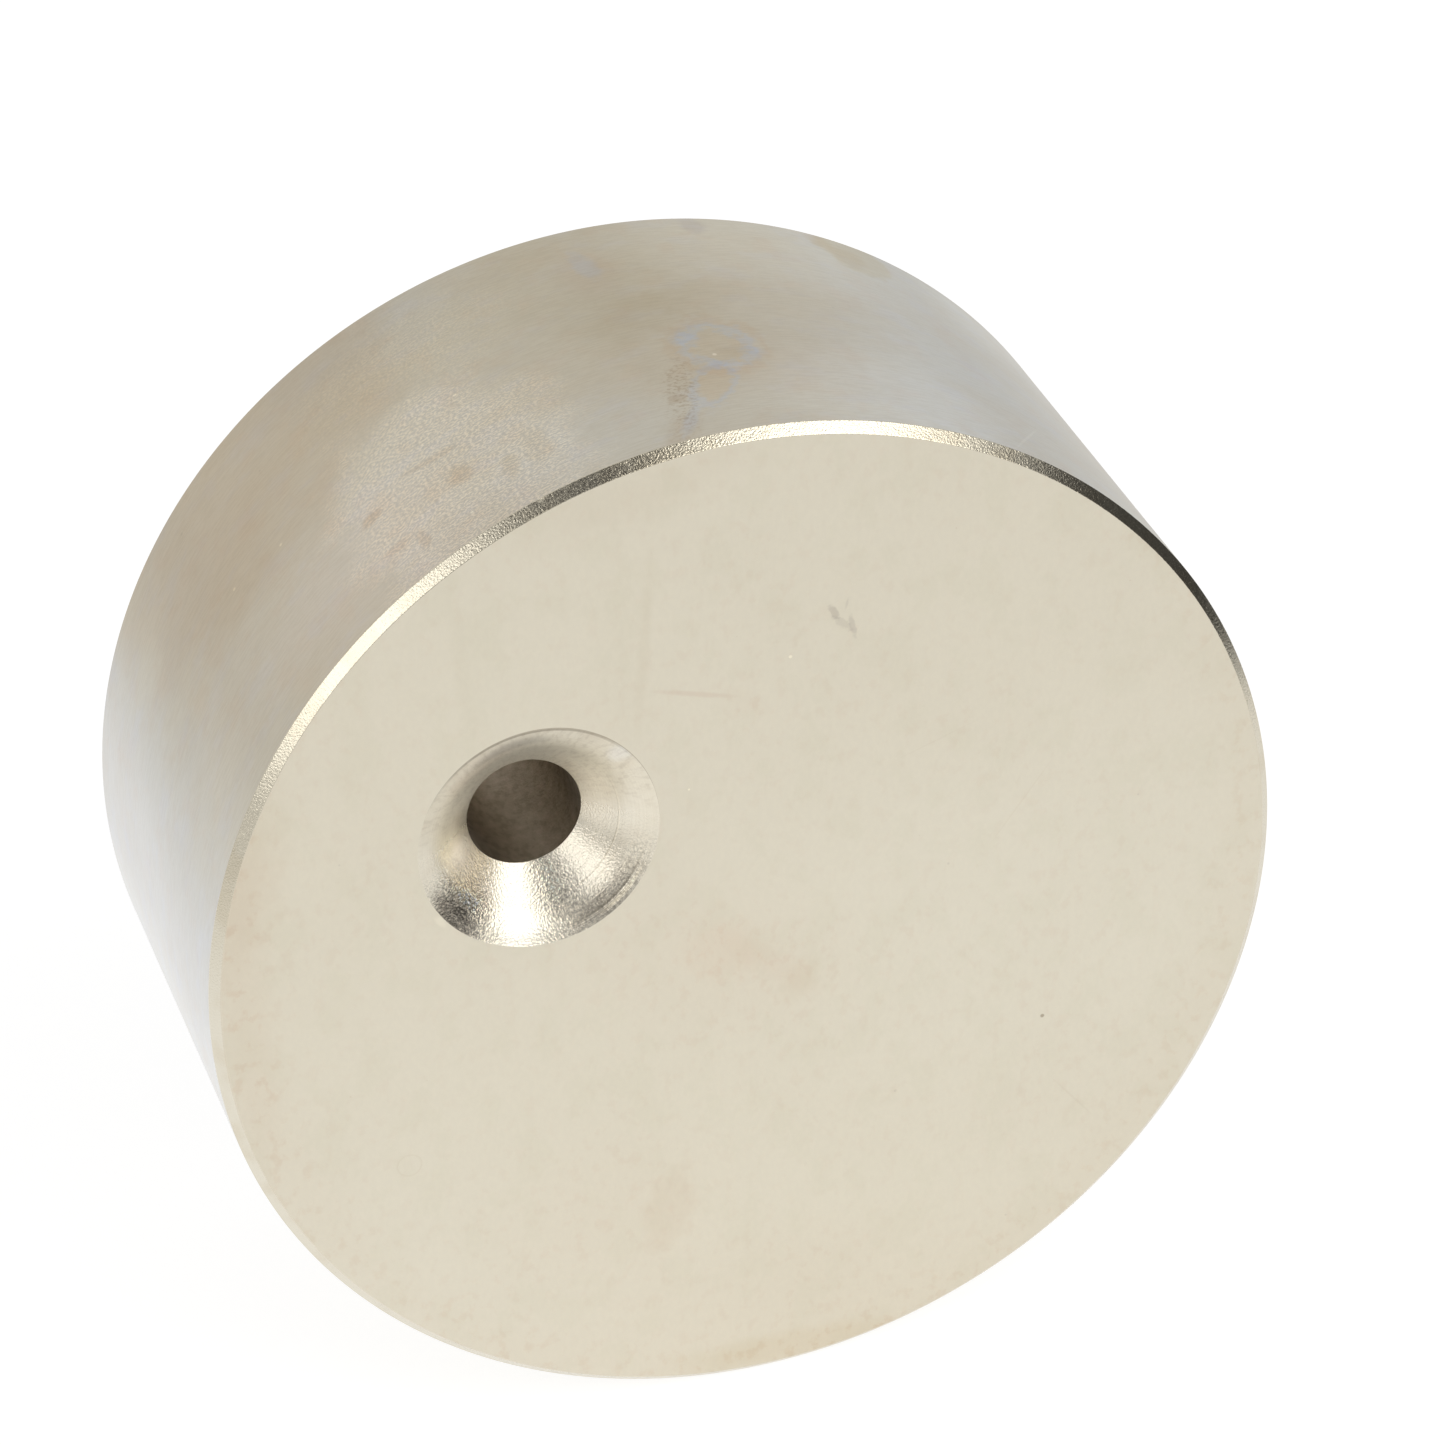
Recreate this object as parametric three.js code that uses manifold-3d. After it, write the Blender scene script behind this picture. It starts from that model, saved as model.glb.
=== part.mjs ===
// Countersunk disc magnet for magnet fishing.
//
// The magnet is one sintered neodymium block with nickel plating all over it, so the whole object
// is a single solid. A through hole to one side of the disc takes a countersunk M8 screw, whose
// head sits below the working face and whose end takes the eye for the rope at the back.
//
// Millimetres. The disc stands on its rim: its axis runs along Y, the working face with the
// countersink looks towards -Y, +Z is up, and the origin is the centre of the disc.

import * as THREE from 'three';
import { mergeVertices, toCreasedNormals } from 'three/addons/utils/BufferGeometryUtils.js';
import Module from 'manifold-3d';

const wasm = await Module();
wasm.setup();

// Disc
const discDiameter = 80;
const discThickness = 35;
const rimChamfer = 0.7; // leg of the 45 degree chamfer round each face

// Screw hole: where it is on the working face
const holeOffset = 19; // from the disc's axis to the hole's axis
const holeBearing = 145; // degrees from +X, turning towards +Z

// Screw hole: its steps, from the back of the disc to the working face
const backEdgeBreak = 0.3; // leg of the 45 degree edge break where the hole leaves the back
const boreDiameter = 8.4; // clearance for an M8 shank
const seatAngle = 90; // cone that carries the screw's head, measured across both sides
const seatDepth = 3.1;
const flareAngle = 126; // wider cone that eases the seat into the working face
const flareDepth = 0.78;

// Flats that stand for the round surfaces. The rim's are wide enough for the disc to stand on one
// without rolling, although the hole puts its weight a little to one side.
const rimFlats = 60;
const holeFlats = 32;
const creaseAngle = THREE.MathUtils.degToRad(12); // sharper corners than this keep their edge

const cutMargin = 1; // how far the cutting tool runs out past each face

const nickelPlating = new THREE.MeshStandardMaterial({
	color: 0xcdc6b6,
	roughness: 0.38,
	metalness: 1,
});

// How much a cone of this angle, measured across both sides, widens over this depth.
function coneWidening(angle, depth) {
	return depth * Math.tan(THREE.MathUtils.degToRad(angle / 2));
}

// Revolves a profile of [radius, y] pairs round the Y axis. The flats touch the true circles from
// outside, with one centred on the bottom of the disc, so that the flats give the true diameter.
function revolve(profile, flats) {
	const halfFlat = Math.PI / flats;
	const cornerScale = 1 / Math.cos(halfFlat);
	const points = profile.map(([radius, y]) => new THREE.Vector2(radius * cornerScale, y));
	return new THREE.LatheGeometry(points, flats, halfFlat);
}

// Turns a closed geometry into a solid that can be cut, without the triangles that have no width
// where a revolved profile meets its axis.
function solidFrom(geometry) {
	geometry.deleteAttribute('normal');
	geometry.deleteAttribute('uv');
	const merged = mergeVertices(geometry);
	const corners = merged.index.array;
	const kept = [];
	for (let i = 0; i < corners.length; i += 3) {
		const [a, b, c] = corners.subarray(i, i + 3);
		if (a !== b && b !== c && c !== a) {
			kept.push(a, b, c);
		}
	}
	const vertProperties = new Float32Array(merged.attributes.position.array);
	const triVerts = new Uint32Array(kept);
	return new wasm.Manifold(new wasm.Mesh({ numProp: 3, vertProperties, triVerts }));
}

// Turns a solid back into a geometry, smooth over its flats and sharp at its edges.
function geometryFrom(solid) {
	const { vertProperties, triVerts } = solid.getMesh();
	const geometry = new THREE.BufferGeometry();
	geometry.setAttribute('position', new THREE.BufferAttribute(vertProperties, 3));
	geometry.setIndex(new THREE.BufferAttribute(triVerts, 1));
	return toCreasedNormals(geometry, creaseAngle);
}

// The disc with its chamfered edges, from the middle of the working face to the middle of the back.
function makeDisc() {
	const radius = discDiameter / 2;
	const halfThickness = discThickness / 2;
	const faceRadius = radius - rimChamfer;
	const rimHalfWidth = halfThickness - rimChamfer;
	const profile = [
		[0, -halfThickness],
		[faceRadius, -halfThickness],
		[radius, -rimHalfWidth],
		[radius, rimHalfWidth],
		[faceRadius, halfThickness],
		[0, halfThickness],
	];
	return solidFrom(revolve(profile, rimFlats));
}

// The tool that cuts the whole screw hole in one go. Each radius follows from the one behind it.
function makeHoleCutter() {
	const frontFace = -discThickness / 2;
	const backFace = discThickness / 2;
	const boreRadius = boreDiameter / 2;
	const seatRadius = boreRadius + coneWidening(seatAngle, seatDepth);
	const mouthRadius = seatRadius + coneWidening(flareAngle, flareDepth);
	const backRadius = boreRadius + backEdgeBreak;
	const profile = [
		[0, frontFace - cutMargin],
		[mouthRadius, frontFace - cutMargin],
		[mouthRadius, frontFace],
		[seatRadius, frontFace + flareDepth],
		[boreRadius, frontFace + flareDepth + seatDepth],
		[boreRadius, backFace - backEdgeBreak],
		[backRadius, backFace],
		[backRadius, backFace + cutMargin],
		[0, backFace + cutMargin],
	];
	const bearing = THREE.MathUtils.degToRad(holeBearing);
	const cutter = revolve(profile, holeFlats);
	cutter.translate(holeOffset * Math.cos(bearing), 0, holeOffset * Math.sin(bearing));
	return solidFrom(cutter);
}

const discMagnet = new THREE.Mesh(
	geometryFrom(makeDisc().subtract(makeHoleCutter())),
	nickelPlating,
);
discMagnet.name = 'disc_magnet';

const part = new THREE.Group();
part.add(discMagnet);

export default part;
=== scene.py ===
import math

import bpy
import numpy as np
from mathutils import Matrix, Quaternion, Vector


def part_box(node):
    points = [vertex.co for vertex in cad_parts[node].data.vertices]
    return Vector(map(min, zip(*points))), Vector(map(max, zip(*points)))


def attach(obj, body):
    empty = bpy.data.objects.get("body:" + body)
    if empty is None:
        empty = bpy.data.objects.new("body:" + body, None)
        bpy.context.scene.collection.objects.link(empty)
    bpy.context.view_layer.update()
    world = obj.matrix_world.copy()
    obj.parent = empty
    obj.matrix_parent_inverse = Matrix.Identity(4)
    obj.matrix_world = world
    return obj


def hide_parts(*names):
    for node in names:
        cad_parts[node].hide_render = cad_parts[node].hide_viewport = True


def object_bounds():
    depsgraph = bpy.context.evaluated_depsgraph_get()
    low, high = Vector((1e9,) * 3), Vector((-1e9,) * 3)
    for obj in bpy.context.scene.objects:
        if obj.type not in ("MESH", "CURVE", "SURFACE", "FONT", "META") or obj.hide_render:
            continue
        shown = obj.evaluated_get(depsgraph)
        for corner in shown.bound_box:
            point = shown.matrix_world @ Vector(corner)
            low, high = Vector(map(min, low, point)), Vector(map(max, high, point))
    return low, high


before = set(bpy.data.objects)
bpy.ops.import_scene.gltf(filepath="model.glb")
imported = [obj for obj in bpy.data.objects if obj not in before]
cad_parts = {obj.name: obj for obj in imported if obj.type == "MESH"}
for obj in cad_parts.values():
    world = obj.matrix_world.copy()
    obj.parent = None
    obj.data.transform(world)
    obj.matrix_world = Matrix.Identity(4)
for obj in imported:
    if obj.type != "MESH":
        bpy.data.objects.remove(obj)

cadLow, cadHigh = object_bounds()
mm = 0.001

# Working units are metres. The disc stands on its rim, its axis is Y, and the working face looks
# towards -Y. The hole and the chamfers repeat the sizes of the solid model.

magnetSizes = {
    "chamfer": 0.7 * mm,        # leg of the 45 degree chamfer round both faces
    "chamferRound": 0.11 * mm,  # rounding of the chamfer's two edges
    "holeOffset": 19 * mm,
    "holeBearing": 145,         # degrees from +X towards +Z
    "boreRadius": 4.2 * mm,
    "backBreak": 0.3 * mm,      # edge break where the hole leaves the back
    "seat": (90, 3.1 * mm),     # angle across both sides and depth of each cone
    "flare": (126, 0.78 * mm),
    "seatRound": 6.8 * mm,      # gentle curve where the seat runs out into the flare
    "holeRound": 0.05 * mm,     # rounding of the hole's own edges
    "segments": 480,            # round the disc and round the hole
    "roundSteps": 5,            # bands in each rounded edge
    "faceRings": 9,             # rings across each flat face
    "edgeRing": 0.3 * mm,       # from a flat face's edge to its nearest ring
    # small knocks on the front edge of the rim: degrees from +X, depth, half length round the rim
    "knocks": [(110.6, 0.05 * mm, 0.22 * mm)],
    "knockReach": 0.16 * mm,    # how far a knock spreads across the edge
    "knockTurns": 17,           # closer angles over a knock, out to twice its half length
    # rings on both sides of that edge, in reaches and in widths of the chamfer
    "knockWallRings": (0.4, 0.8, 1.4, 2.2, 4),
    "knockChamferRings": (0.3, 0.5, 0.65, 0.78),
}

nickel = (0.700, 0.650, 0.532)     # clean satin nickel, linear


def roundedPath(corners, radii, steps):
    # Points along a path of straight runs, with each inner corner replaced by an arc of its own
    # radius that touches both runs: the arc starts radius * tan(turn / 2) before the corner, and its
    # normals go from one run's to the other's by the sines of the angles on both sides of them.
    # Gives the points and the normals, which lie to the right of the path.
    corners = np.array(corners, float)
    points, normals = [corners[0]], []
    runs = np.diff(corners, axis=0)
    runs /= np.linalg.norm(runs, axis=1)[:, None]
    sideways = np.stack([runs[:, 1], -runs[:, 0]], axis=1)
    normals.append(sideways[0])
    for k, radius in enumerate(radii):
        a, b = sideways[k], sideways[k + 1]
        turn = math.acos(np.clip(a @ b, -1, 1))
        back = radius * math.tan(turn / 2)
        t = np.linspace(0, 1, steps + 1)[:, None]
        arcNormals = (np.sin((1 - t) * turn) * a + np.sin(t * turn) * b) / math.sin(turn)
        start = corners[k + 1] - back * runs[k]
        bend = math.copysign(1, runs[k][0] * runs[k + 1][1] - runs[k][1] * runs[k + 1][0])
        centre = start - bend * radius * a
        points.extend(centre + bend * radius * arcNormals)
        normals.extend(arcNormals)
    points.append(corners[-1])
    normals.append(sideways[-1])
    return np.array(points), np.array(normals)


def withRings(points, normals, after, distances):
    # adds points on the straight run behind point number after, at these distances from it
    run = points[after + 1] - points[after]
    share = (distances / np.linalg.norm(run))[:, None]
    extra = points[after] + share * run
    same = np.repeat(normals[after:after + 1], len(distances), axis=0)
    return np.insert(points, after + 1, extra, axis=0), np.insert(normals, after + 1, same, axis=0)


def coneWidening(cone):
    angle, depth = cone
    return depth * math.tan(math.radians(angle / 2))


def makeMagnetMesh(name, sizes, low, high):
    # One closed skin of circles. Ring j has radius r(j) and depth y(j), and its centre goes from
    # the disc's axis (share 0) to the hole's axis (share 1):
    # point(i, j) = share(j) * holeCentre + r(j) * (cos angle(i), sin angle(i)).
    radius = (high.x - low.x) / 2
    half = (high.y - low.y) / 2
    chamfer, bore = sizes["chamfer"], sizes["boreRadius"]
    seatRadius = bore + coneWidening(sizes["seat"])
    mouthRadius = seatRadius + coneWidening(sizes["flare"])
    flareY = -half + sizes["flare"][1]
    seatY = flareY + sizes["seat"][1]
    nearEdge = sizes["edgeRing"]
    steps = sizes["roundSteps"]

    outer, outerNormals = roundedPath(
        [(radius - chamfer - nearEdge, -half), (radius - chamfer, -half), (radius, -half + chamfer),
         (radius, half - chamfer), (radius - chamfer, half), (radius - chamfer - nearEdge, half)],
        [sizes["chamferRound"]] * 4, steps)
    reach = sizes["knockReach"]
    slope = chamfer * math.sqrt(2)
    chamferEnd, wallStart = 1 + steps, 2 * (1 + steps)
    wallRings = np.array(sizes["knockWallRings"]) * reach
    chamferRings = np.array(sizes["knockChamferRings"]) * slope
    outer, outerNormals = withRings(outer, outerNormals, wallStart, wallRings)
    outer, outerNormals = withRings(outer, outerNormals, chamferEnd, chamferRings)
    inner, innerNormals = roundedPath(
        [(bore + sizes["backBreak"] + nearEdge, half), (bore + sizes["backBreak"], half),
         (bore, half - sizes["backBreak"]), (bore, seatY), (seatRadius, flareY),
         (mouthRadius, -half), (mouthRadius + nearEdge, -half)],
        [sizes["holeRound"]] * 3 + [sizes["seatRound"], sizes["holeRound"]], steps)

    # rings on the flat faces, between the two paths
    t = np.linspace(0, 1, sizes["faceRings"] + 2)[1:-1]
    backRadii = outer[-1, 0] + t * (inner[0, 0] - outer[-1, 0])
    frontRadii = inner[-1, 0] + t * (outer[0, 0] - inner[-1, 0])
    ringRadius = np.concatenate([outer[:, 0], backRadii, inner[:, 0], frontRadii])
    ringY = np.concatenate([outer[:, 1], np.full(t.size, half), inner[:, 1], np.full(t.size, -half)])
    share = np.concatenate([np.zeros(len(outer)), t, np.ones(len(inner)), 1 - t])
    normalOut = np.concatenate([outerNormals[:, 0], 0 * t, innerNormals[:, 0], 0 * t])
    normalY = np.concatenate([outerNormals[:, 1], 0 * t + 1, innerNormals[:, 1], 0 * t - 1])
    rings = ringRadius.size

    # the seam is under the disc; each knock gets closer angles of its own
    even = np.linspace(-math.pi / 2, 3 * math.pi / 2, sizes["segments"], endpoint=False)
    over = np.linspace(-2, 2, sizes["knockTurns"])
    extra = [math.radians(deg) + over * width / radius for deg, _, width in sizes["knocks"]]
    angle = (np.concatenate([even] + extra) + math.pi / 2) % (2 * math.pi) - math.pi / 2
    angle = np.unique(np.round(angle, 6))
    turns = angle.size
    cosA, sinA = np.cos(angle)[:, None], np.sin(angle)[:, None]

    bearing = math.radians(sizes["holeBearing"])
    holeX = sizes["holeOffset"] * math.cos(bearing)
    holeZ = sizes["holeOffset"] * math.sin(bearing)
    x = share * holeX + ringRadius * cosA
    z = share * holeZ + ringRadius * sinA
    y = np.broadcast_to(ringY, x.shape).copy()
    nx, nz = normalOut * cosA, normalOut * sinA
    ny = np.broadcast_to(normalY, x.shape).copy()

    # knocks push the front edge of the rim in: depth * exp(-(arc / width)^2 - (y / reach)^2)
    # and the normals lean by the dent's slope round the rim and across it
    dent = np.zeros(x.shape)
    across = ringY + half - chamfer
    for deg, depth, width in sizes["knocks"]:
        away = angle[:, None] - math.radians(deg)
        arc = ((away + math.pi) % (2 * math.pi) - math.pi) * radius
        dent += (share == 0) * depth * np.exp(-(arc / width) ** 2 - (across / reach) ** 2)
    x, y, z = x - dent * nx, y - dent * ny, z - dent * nz
    lean = np.gradient(dent, axis=0) / (np.gradient(angle)[:, None] * radius)
    leanAcross = -2 * across / reach ** 2 * dent * normalOut
    nx = nx - lean * sinA - leanAcross * normalY * cosA
    nz = nz + lean * cosA - leanAcross * normalY * sinA
    ny = ny + leanAcross * normalOut

    # quads between ring j and ring j + 1, closed both ways
    i, j = np.meshgrid(np.arange(turns), np.arange(rings), indexing="ij")
    i2, j2 = (i + 1) % turns, (j + 1) % rings
    faces = np.stack([i * rings + j, i * rings + j2, i2 * rings + j2, i2 * rings + j], axis=-1)
    faces = faces.reshape(-1, 4)
    verts = np.stack([x, y, z], axis=-1).reshape(-1, 3)
    normals = np.stack([nx, ny, nz], axis=-1).reshape(-1, 3)
    normals /= np.linalg.norm(normals, axis=1)[:, None]
    mesh = bpy.data.meshes.new(name)
    mesh.from_pydata(verts.tolist(), [], faces.tolist())

    # which surface each band belongs to, as the number of its material
    nextRing = np.roll(np.arange(rings), -1)
    midY = (ringY + ringY[nextRing]) / 2
    midR = (ringRadius + ringRadius[nextRing]) / 2
    hair = 0.001 * mm
    zone = np.select(
        [midY < -half + hair, midY > half - hair, (share == 0) & (midR > radius - hair),
         share == 0, midR < bore + hair, midY > 0],
        [0, 1, 2, 3, 5, 3], default=4)
    mesh.polygons.foreach_set("material_index", np.tile(zone, turns).astype(np.int32))
    mesh.polygons.foreach_set("use_smooth", np.ones(len(faces), bool))

    # UV map "unrolled" in millimetres: (x, z) on the flat faces, and elsewhere (arc, depth below the
    # working face), with the arc at the rim's or the bore's radius, 0 at the top and growing to -X
    arcRadius = np.where(share == 0, radius, bore)
    wideAngle = np.append(angle, angle[0] + 2 * math.pi)
    arc = (wideAngle[:, None] - math.pi / 2) * arcRadius
    flat = np.isin(zone, (0, 1))
    uvX = np.stack([np.vstack([x, x[:1]]), arc])
    uvY = np.stack([np.vstack([z, z[:1]]), np.broadcast_to(ringY + half, arc.shape)])
    kind = np.where(flat, 0, 1)[j]
    cornerI = np.stack([i, i, i + 1, i + 1], axis=-1)
    cornerJ = np.stack([j, j2, j2, j], axis=-1)
    corner = kind[..., None], cornerI, cornerJ
    uv = np.stack([uvX[corner], uvY[corner]], axis=-1) / mm
    unrolled = mesh.uv_layers.new(name="unrolled")
    unrolled.data.foreach_set("uv", uv.astype(np.float32).ravel())
    mesh.validate()
    mesh.normals_split_custom_set_from_vertices(normals.tolist())
    mesh.update()
    return mesh


def addObject(name, data):
    made = bpy.data.objects.new(name, data)
    bpy.context.collection.objects.link(made)
    return made


def put(tree, kind, values=None, **settings):
    # adds a node; values holds a number, a tuple or another node's output for each input
    node = tree.nodes.new(kind)
    for key, value in settings.items():
        setattr(node, key, value)
    for key, value in (values or {}).items():
        if isinstance(value, bpy.types.NodeSocket):
            tree.links.new(value, node.inputs[key])
        else:
            node.inputs[key].default_value = value
    return node


def calc(tree, operation, a, b=0.0, c=0.0):
    return put(tree, "ShaderNodeMath", {0: a, 1: b, 2: c}, operation=operation).outputs[0]


def vectorCalc(tree, operation, a, b=None, output="Vector"):
    second = {} if b is None else {"Scale" if operation == "SCALE" else 1: b}
    node = put(tree, "ShaderNodeVectorMath", {0: a, **second}, operation=operation)
    return node.outputs[output]


def smooth(tree, value, start, end, low=0.0, high=1.0):
    # 0 before start, 1 after end, an S curve between
    node = put(tree, "ShaderNodeMapRange",
               {"Value": value, "From Min": start, "From Max": end, "To Min": low, "To Max": high},
               interpolation_type="SMOOTHSTEP")
    return node.outputs["Result"]


def tinted(tree, colour, tint, amount):
    # colour * (1 + amount * (tint - 1))
    node = put(tree, "ShaderNodeMix", {0: amount, 6: colour, 7: (*tint, 1.0)},
               data_type="RGBA", blend_type="MULTIPLY")
    return node.outputs[2]


def newGroup(name, inputs, outputs):
    # inputs with their defaults, numbers or vectors; the outputs are numbers
    tree = bpy.data.node_groups.new(name, "ShaderNodeTree")
    for label, value in inputs.items():
        kind = "NodeSocketVector" if isinstance(value, tuple) else "NodeSocketFloat"
        tree.interface.new_socket(label, in_out="INPUT", socket_type=kind).default_value = value
    for label in outputs:
        tree.interface.new_socket(label, in_out="OUTPUT", socket_type="NodeSocketFloat")
    return tree, tree.nodes.new("NodeGroupInput").outputs, tree.nodes.new("NodeGroupOutput").inputs


def use(tree, group, values):
    return put(tree, "ShaderNodeGroup", values, node_tree=group).outputs


def makeGrainGroup():
    # grain = noise over the point times its cells per millimetre each way
    tree, given, out = newGroup(
        "plateGrain", {"Vector": (0, 0, 0), "Cells": (1, 1, 1), "Detail": 2.0}, ["Grain"])
    scaled = vectorCalc(tree, "MULTIPLY", given["Vector"], given["Cells"])
    noise = put(tree, "ShaderNodeTexNoise",
                {"Vector": scaled, "Scale": 1.0, "Detail": given["Detail"], "Roughness": 0.6})
    tree.links.new(noise.outputs["Fac"], out["Grain"])
    return tree


def makeMarkGroup():
    # q = (point - centre) turned and divided by the half sizes, d = |q| + wobble * (noise - 0.5)
    # fill = 1 inside d < 1, fading over the softness; outline = 1 on d = 1, fading to both sides
    tree, given, out = newGroup(
        "handMark",
        {"Vector": (0, 0, 0), "Centre": (0, 0, 0), "Half Size": (1, 1, 1), "Turn": 0.0,
         "Softness": 0.5, "Wobble": 0.5, "Wobble Cells": 0.5, "Line": 0.1},
        ["Fill", "Outline"])
    away = vectorCalc(tree, "SUBTRACT", given["Vector"], given["Centre"])
    turned = put(tree, "ShaderNodeVectorRotate",
                 {"Vector": away, "Axis": (0, 0, 1), "Angle": given["Turn"]},
                 rotation_type="AXIS_ANGLE").outputs[0]
    scaled = vectorCalc(tree, "DIVIDE", turned, given["Half Size"])
    distance = vectorCalc(tree, "LENGTH", scaled, output="Value")
    noise = put(tree, "ShaderNodeTexNoise",
                {"Vector": given["Vector"], "Scale": given["Wobble Cells"], "Detail": 3.0,
                 "Roughness": 0.6}).outputs["Fac"]
    wobble = calc(tree, "MULTIPLY", calc(tree, "SUBTRACT", noise, 0.5), given["Wobble"])
    distance = calc(tree, "ADD", distance, wobble)
    inside = calc(tree, "SUBTRACT", 1.0, given["Softness"])
    outside = calc(tree, "ADD", 1.0, given["Softness"])
    tree.links.new(smooth(tree, distance, inside, outside, 1.0, 0.0), out["Fill"])
    off = calc(tree, "ABSOLUTE", calc(tree, "SUBTRACT", distance, 1.0))
    tree.links.new(smooth(tree, off, 0.0, given["Line"], 1.0, 0.0), out["Outline"])
    return tree


def makeSpeckGroup():
    # specks = the part of a grain that rises above the level, fading over the softness
    tree, given, out = newGroup(
        "platingSpecks", {"Vector": (0, 0, 0), "Cells": 4.0, "Level": 0.62, "Softness": 0.05}, ["Specks"])
    noise = put(tree, "ShaderNodeTexNoise",
                {"Vector": given["Vector"], "Scale": given["Cells"], "Detail": 2.0,
                 "Roughness": 0.5}).outputs["Fac"]
    top = calc(tree, "ADD", given["Level"], given["Softness"])
    tree.links.new(smooth(tree, noise, given["Level"], top), out["Specks"])
    return tree


grainGroup = makeGrainGroup()
markGroup = makeMarkGroup()
speckGroup = makeSpeckGroup()
print("node groups made")


def startMaterial(name, look):
    # a material with the look's tone and roughness, the unrolled millimetres and the object's own
    material = bpy.data.materials.new(name)
    material.use_nodes = True
    tree = material.node_tree
    shader = tree.nodes["Principled BSDF"]
    shader.inputs["Metallic"].default_value = 1.0
    shader.inputs["Roughness"].default_value = look["roughness"]
    unrolled = put(tree, "ShaderNodeUVMap", uv_map="unrolled").outputs["UV"]
    where = put(tree, "ShaderNodeTexCoord").outputs["Object"]
    where = vectorCalc(tree, "SCALE", where, 1 / mm)
    colour = put(tree, "ShaderNodeRGB").outputs[0]
    colour.default_value = (*(n * t for n, t in zip(nickel, look["tone"])), 1)
    return material, tree, shader, unrolled, where, colour


def layer(cells, detail, rise, tint=None):
    # a tint that follows a noise: cells per millimetre each way, detail, and the values of the noise
    # between which the tint comes in, with its least and greatest share if they aren't 0 and 1
    return {"cells": cells, "detail": detail, "rise": rise, "tint": tint}


# What a mark has unless it says otherwise: rim tints its outline, turn is in degrees, soft is how
# wide its edge fades, wobble how far the edge strays with a noise of cells per millimetre, line how
# thick the outline is, and broken how much of it the mottle hides
markDefaults = {"rim": None, "turn": 0, "soft": 0.5, "wobble": 0.8, "cells": 0.5, "line": 0.12,
                "amount": 1.0, "rimAmount": 1.0, "broken": 0.0, "strength": 1.0}


def mark(at, half, tint=None, **rest):
    # an oval stain, scratch, zone, painted reflection or painted shade: its centre and half sizes in
    # millimetres and the tint inside it
    return {**markDefaults, "at": at, "half": half, "tint": tint, **rest}


def dotMarks(dots):
    return [mark(at, (size, size), tint, wobble=0.5, cells=3.0, soft=0.35) for at, size, tint in dots]


def grain(tree, vector, cells, detail=2.0):
    return use(tree, grainGroup, {"Vector": vector, "Cells": cells, "Detail": detail})["Grain"]


def layerNoise(tree, vector, made):
    return grain(tree, vector, made["cells"], made["detail"])


def layerMask(tree, vector, made):
    return smooth(tree, layerNoise(tree, vector, made), *made["rise"])


def addLayer(tree, colour, vector, made, zone=None):
    mask = layerMask(tree, vector, made)
    return tinted(tree, colour, made["tint"], calc(tree, "MULTIPLY", zone, mask) if zone else mask)


def markMask(tree, place, made):
    return use(tree, markGroup, {
        "Vector": place, "Centre": (*made["at"], 0), "Half Size": (*made["half"], 1),
        "Turn": math.radians(-made["turn"]), "Softness": made["soft"], "Wobble": made["wobble"],
        "Wobble Cells": made["cells"], "Line": made["line"]})


def addMarks(tree, colour, place, marks, mottle=None):
    # colour * tint inside each mark and * rim on its outline; broken marks show only in the mottle
    for made in marks:
        masks = markMask(tree, place, made)
        for output, tint, amount in (("Fill", made["tint"], made["amount"]),
                                     ("Outline", made["rim"], made["rimAmount"])):
            if tint:
                share = calc(tree, "MULTIPLY", masks[output], amount)
                if made["broken"]:
                    kept = calc(tree, "MULTIPLY_ADD", mottle, made["broken"], 1 - made["broken"])
                    share = calc(tree, "MULTIPLY", share, kept)
                colour = tinted(tree, colour, tint, share)
    return colour


def zoneMask(tree, place, zones):
    # the strongest of the zones' fills
    mask = None
    for zone in zones:
        fill = calc(tree, "MULTIPLY", markMask(tree, place, zone)["Fill"], zone["strength"])
        mask = calc(tree, "MAXIMUM", mask, fill) if mask else fill
    return mask


# Painted glints: crystals painted darker or brighter than the plating for the grain's sparkle: the tint, and
# the noise it comes in at
paintedGlintTints = [((0.60, 0.59, 0.58), (0.49, 0.38)), ((1.38, 1.36, 1.32), (0.52, 0.63))]


def addPaintedGlints(tree, colour, where, cells, amount):
    glintGrain = grain(tree, where, (cells,) * 3)
    for tint, rise in paintedGlintTints:
        colour = tinted(tree, colour, tint, calc(tree, "MULTIPLY", smooth(tree, glintGrain, *rise), amount))
    return colour


def roughOver(tree, look, fine):
    # roughness that spreads to both sides of the look's own value with the fine grain
    spread = look["roughSpread"]
    return calc(tree, "MULTIPLY_ADD", fine, spread, look["roughness"] - spread / 2)


def finishShader(tree, shader, colour, roughness, height):
    tree.links.new(colour, shader.inputs["Base Color"])
    tree.links.new(roughness, shader.inputs["Roughness"])
    bump = put(tree, "ShaderNodeBump", {"Strength": 1.0, "Distance": mm, "Height": height})
    tree.links.new(bump.outputs["Normal"], shader.inputs["Normal"])


def finishGrain(tree, shader, look, colour, fine):
    height = calc(tree, "MULTIPLY", fine, look["grainHeight"])
    finishShader(tree, shader, colour, roughOver(tree, look, fine), height)


# Tints of the stains: the plating's colour is multiplied by them
brown = (0.90, 0.855, 0.81)
paleBrown = (0.95, 0.915, 0.87)
pink = (0.985, 0.945, 0.925)
palePink = (0.99, 0.972, 0.966)
grey = (0.91, 0.905, 0.91)
blue = (0.93, 1.005, 1.18)
bright = (1.22, 1.22, 1.20)

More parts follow.
